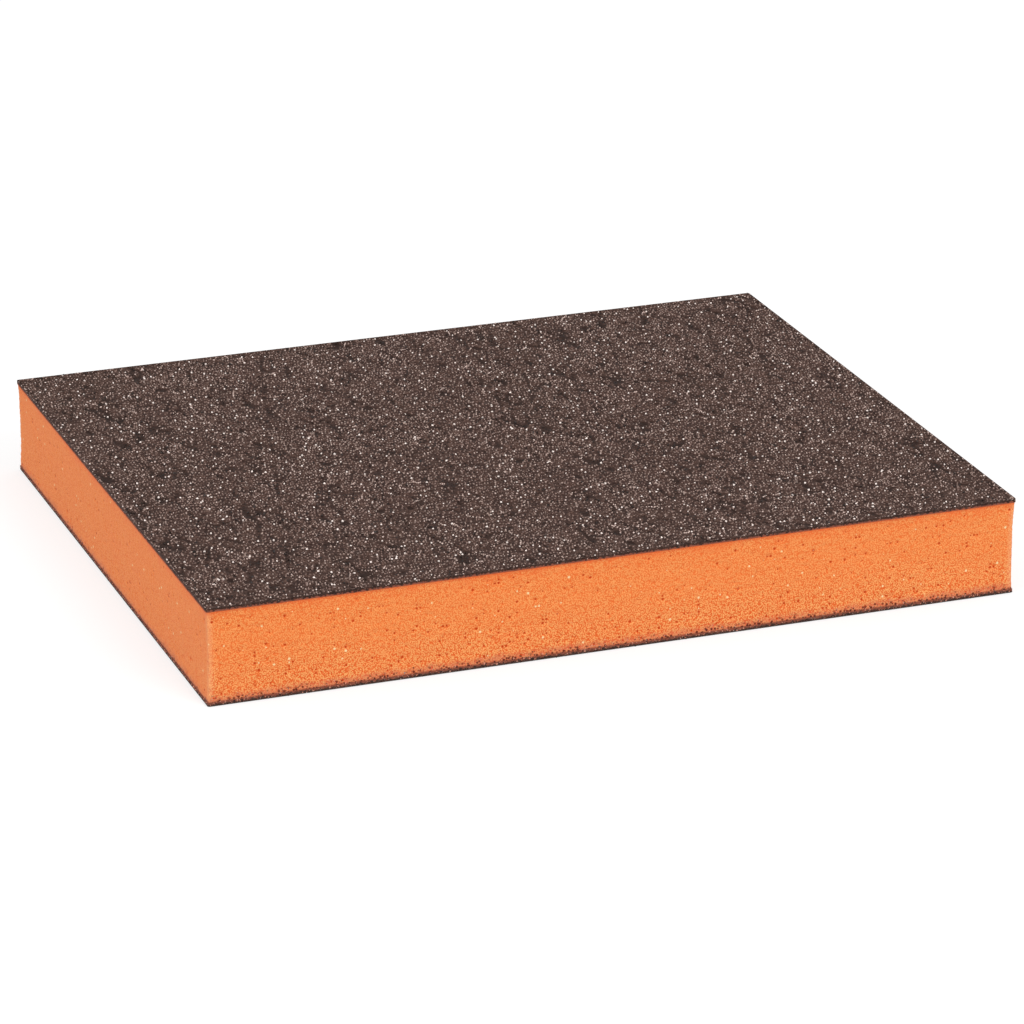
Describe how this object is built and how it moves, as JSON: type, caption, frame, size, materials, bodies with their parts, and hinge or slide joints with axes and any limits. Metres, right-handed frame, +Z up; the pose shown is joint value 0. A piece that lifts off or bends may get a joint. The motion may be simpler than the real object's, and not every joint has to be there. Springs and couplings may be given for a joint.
{
  "type": "sanding sponge pad",
  "caption": "Flat rectangular sanding pad: an orange open-cell foam slab with a dark abrasive coat bonded over its upper and lower faces.",
  "frame": {"origin": "middle of the face that the pad lies on", "axes": "+X along the pad's length, +Y along its width, +Z up through its thickness"},
  "size_m": [0.12, 0.098, 0.0144],
  "materials": {
    "foam": "matte, open-cell",
    "abrasive": "rough, gritty"
  },
  "bodies": {
    "root": {"foam_core": "foam", "upper_abrasive_coat": "abrasive", "lower_abrasive_coat": "abrasive"}
  },
  "joints": []
}
